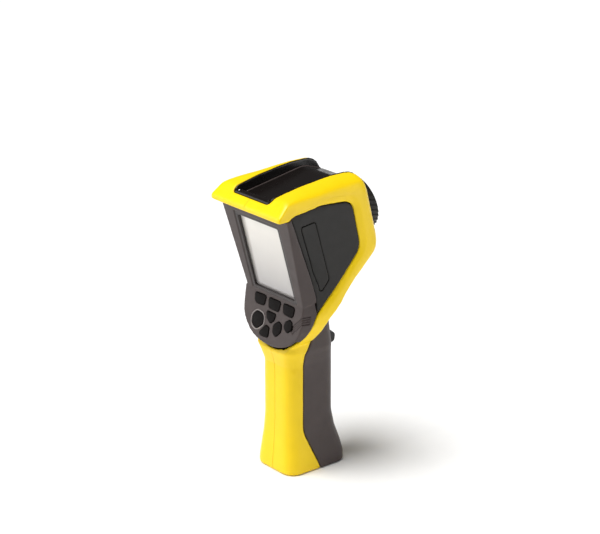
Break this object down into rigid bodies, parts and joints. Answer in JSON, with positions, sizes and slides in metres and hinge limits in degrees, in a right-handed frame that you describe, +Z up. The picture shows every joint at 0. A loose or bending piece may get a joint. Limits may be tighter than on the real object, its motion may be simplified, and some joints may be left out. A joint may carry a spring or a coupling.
{
  "type": "handheld thermal imaging camera",
  "caption": "Pistol-grip thermal imaging camera: angled head with portrait display, key shield, roof well with hinged cover, focusing lens, trigger and battery door.",
  "frame": {"origin": "centre of the flat underside of the handle's base", "axes": "+Z up the handle, +Y the way the lens looks, +X the operator's right hand side"},
  "size_m": [0.1, 0.1391, 0.2835],
  "materials": {
    "yellow_plastic": "smooth satin-gloss yellow moulding",
    "grey_plastic": "fine-grained warm dark grey moulding",
    "dark_plastic": "fine-grained near-black moulding",
    "black_gloss": "smooth black moulding",
    "key_rubber": "matt black key caps",
    "display_glass": "polished display window",
    "germanium": "polished infrared lens, opaque and mirror-like in daylight",
    "aluminium": "machined",
    "steel": "bright pin and screw stock",
    "board_green": "solder mask over circuit board",
    "battery_wrap": "moulded battery case"
  },
  "bodies": {
    "body": {"display_window": "display_glass", "display_module": "dark_plastic", "lens_barrel": "black_gloss", "germanium_lens": "germanium", "rear_lens": "germanium", "detector_core": "aluminium", "camera_window": "black_gloss", "laser_window": "black_gloss", "visible_camera": "board_green", "laser_diode": "aluminium", "main_board": "board_green", "speaker": "dark_plastic", "keypad_board": "board_green", "housing_left": "yellow_plastic", "housing_right": "yellow_plastic", "grip_front": "grey_plastic", "side_panel_left": "dark_plastic", "side_panel_right": "dark_plastic", "rear_bezel": "grey_plastic", "top_well": "black_gloss", "connector_cover_pin": "steel", "card_reader": "aluminium", "trigger_pin": "steel", "trigger_bracket": "steel", "trigger_switch": "dark_plastic", "battery_door_pin": "steel", "battery_pack": "battery_wrap", "battery_contacts": "steel", "usb_socket": "steel", "video_socket": "steel", "power_socket": "black_gloss", "shell_screw_lower": "steel", "shell_screw_upper": "steel", "shell_screw_neck": "steel", "shell_screw_front": "steel"},
    "connector_cover": {"connector_cover": "black_gloss"},
    "card_door": {"card_door": "dark_plastic"},
    "battery_door": {"battery_door": "grey_plastic"},
    "trigger": {"trigger": "black_gloss"},
    "focus_ring": {"focus_ring": "dark_plastic"},
    "key_soft_left": {"key_soft_left": "key_rubber"},
    "key_soft_middle": {"key_soft_middle": "key_rubber"},
    "key_soft_right": {"key_soft_right": "key_rubber"},
    "key_round": {"key_round": "key_rubber"},
    "key_wedge": {"key_wedge": "key_rubber"},
    "key_leaf": {"key_leaf": "key_rubber"},
    "key_oval": {"key_oval": "key_rubber"},
    "key_right": {"key_right": "key_rubber"}
  },
  "joints": [
    {"name": "connector_cover_hinge", "type": "hinge", "parent": "body", "child": "connector_cover", "pos_m": [0, -0.0504, 0.2666], "axis": [1, 0, 0], "range_deg": [0, 105]},
    {"name": "card_door_hinge", "type": "hinge", "parent": "body", "child": "card_door", "pos_m": [0.045, -0.0034, 0.192], "axis": [0.0051, -0.2756, 0.9613], "range_deg": [0, 110]},
    {"name": "battery_door_hinge", "type": "hinge", "parent": "body", "child": "battery_door", "pos_m": [0, -0.0174, 0.0023], "axis": [-1, 0, 0], "range_deg": [0, 95]},
    {"name": "trigger_pull", "type": "hinge", "parent": "body", "child": "trigger", "pos_m": [0, 0.0125, 0.129], "axis": [-1, 0, 0], "range_deg": [0, 8], "stiffness_Nm_per_rad": 0.4, "springref_deg": -2.86},
    {"name": "focus_turn", "type": "hinge", "parent": "body", "child": "focus_ring", "pos_m": [0, 0.05945, 0.2379], "axis": [0, 0.9677, 0.2521], "range_deg": [-60, 60]},
    {"name": "key_soft_left_press", "type": "slide", "parent": "body", "child": "key_soft_left", "axis": [0, 0.9836, -0.1805], "range_m": [0, 0.0009], "stiffness_N_per_m": 1500, "springref_m": -0.0002},
    {"name": "key_soft_middle_press", "type": "slide", "parent": "body", "child": "key_soft_middle", "axis": [0, 0.9836, -0.1805], "range_m": [0, 0.0009], "stiffness_N_per_m": 1500, "springref_m": -0.0002},
    {"name": "key_soft_right_press", "type": "slide", "parent": "body", "child": "key_soft_right", "axis": [0, 0.9836, -0.1805], "range_m": [0, 0.0009], "stiffness_N_per_m": 1500, "springref_m": -0.0002},
    {"name": "key_round_press", "type": "slide", "parent": "body", "child": "key_round", "axis": [0, 0.9836, -0.1805], "range_m": [0, 0.0009], "stiffness_N_per_m": 1500, "springref_m": -0.0002},
    {"name": "key_wedge_press", "type": "slide", "parent": "body", "child": "key_wedge", "axis": [0, 0.9836, -0.1805], "range_m": [0, 0.0009], "stiffness_N_per_m": 1500, "springref_m": -0.0002},
    {"name": "key_leaf_press", "type": "slide", "parent": "body", "child": "key_leaf", "axis": [0, 0.9836, -0.1805], "range_m": [0, 0.0009], "stiffness_N_per_m": 1500, "springref_m": -0.0002},
    {"name": "key_oval_press", "type": "slide", "parent": "body", "child": "key_oval", "axis": [0, 0.9836, -0.1805], "range_m": [0, 0.0009], "stiffness_N_per_m": 1500, "springref_m": -0.0002},
    {"name": "key_right_press", "type": "slide", "parent": "body", "child": "key_right", "axis": [0, 0.9836, -0.1805], "range_m": [0, 0.0009], "stiffness_N_per_m": 1500, "springref_m": -0.0002}
  ]
}
